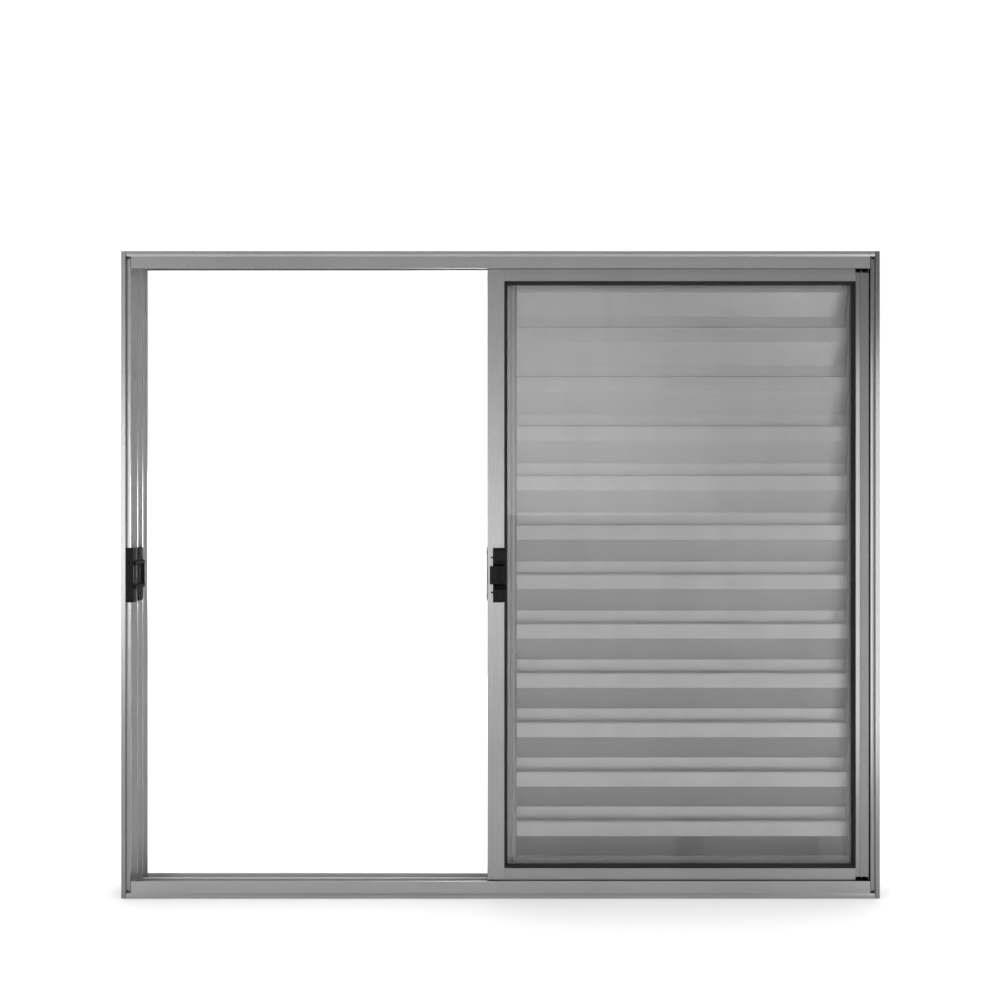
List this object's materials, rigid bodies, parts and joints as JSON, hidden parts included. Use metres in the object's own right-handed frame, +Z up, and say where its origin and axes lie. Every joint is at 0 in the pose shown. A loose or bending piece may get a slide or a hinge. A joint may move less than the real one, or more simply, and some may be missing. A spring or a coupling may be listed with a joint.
{
  "type": "sliding window",
  "caption": "Horizontal sliding aluminium window with a latched glass leaf in front of a sliding louvre leaf and a fixed louvre leaf, the other half standing open.",
  "frame": {"origin": "middle of the sill's underside: mid width and mid depth of the frame", "axes": "+X along the sill to the right as seen from the room, +Y to the outside, +Z up; the room side faces -Y"},
  "size_m": [1.2, 0.0823, 1.024],
  "materials": {
    "frame_aluminium": "satin anodised",
    "leaf_aluminium": "satin anodised",
    "blade_aluminium": "satin anodised",
    "clear_glass": "clear float glass",
    "black_rubber": "extruded wedge gasket",
    "black_plastic": "moulded nylon, fine satin",
    "roller_nylon": "white nylon wheel",
    "pile_seal": "woven pile"
  },
  "bodies": {
    "root": {"fixed_leaf_blades": "blade_aluminium", "fixed_leaf_rail_bottom": "leaf_aluminium", "fixed_leaf_rail_top": "leaf_aluminium", "fixed_leaf_stile_left": "leaf_aluminium", "fixed_leaf_stile_right": "leaf_aluminium", "frame_head": "frame_aluminium", "frame_jamb_left": "frame_aluminium", "frame_jamb_right": "frame_aluminium", "frame_sill": "frame_aluminium", "glass_gasket": "black_rubber", "glass_leaf_rail_bottom": "leaf_aluminium", "glass_leaf_rail_top": "leaf_aluminium", "glass_leaf_roller_housings": "black_plastic", "glass_leaf_rollers": "roller_nylon", "glass_leaf_stile_left": "leaf_aluminium", "glass_leaf_stile_right": "leaf_aluminium", "glass_pane": "clear_glass", "keeper_glass_leaf": "black_plastic", "keeper_louvre_leaf": "black_plastic", "latch_case": "black_plastic", "latch_slider": "black_plastic", "louvre_blade_01": "blade_aluminium", "louvre_blade_02": "blade_aluminium", "louvre_blade_03": "blade_aluminium", "louvre_blade_04": "blade_aluminium", "louvre_blade_05": "blade_aluminium", "louvre_blade_06": "blade_aluminium", "louvre_blade_07": "blade_aluminium", "louvre_blade_08": "blade_aluminium", "louvre_blade_09": "blade_aluminium", "louvre_blade_10": "blade_aluminium", "louvre_blade_11": "blade_aluminium", "louvre_blade_12": "blade_aluminium", "louvre_leaf_latch": "black_plastic", "louvre_leaf_rail_bottom": "leaf_aluminium", "louvre_leaf_rail_top": "leaf_aluminium", "louvre_leaf_roller_housings": "black_plastic", "louvre_leaf_rollers": "roller_nylon", "louvre_leaf_stile_left": "leaf_aluminium", "louvre_leaf_stile_right": "leaf_aluminium", "meeting_brush_seals": "pile_seal"}
  },
  "joints": []
}
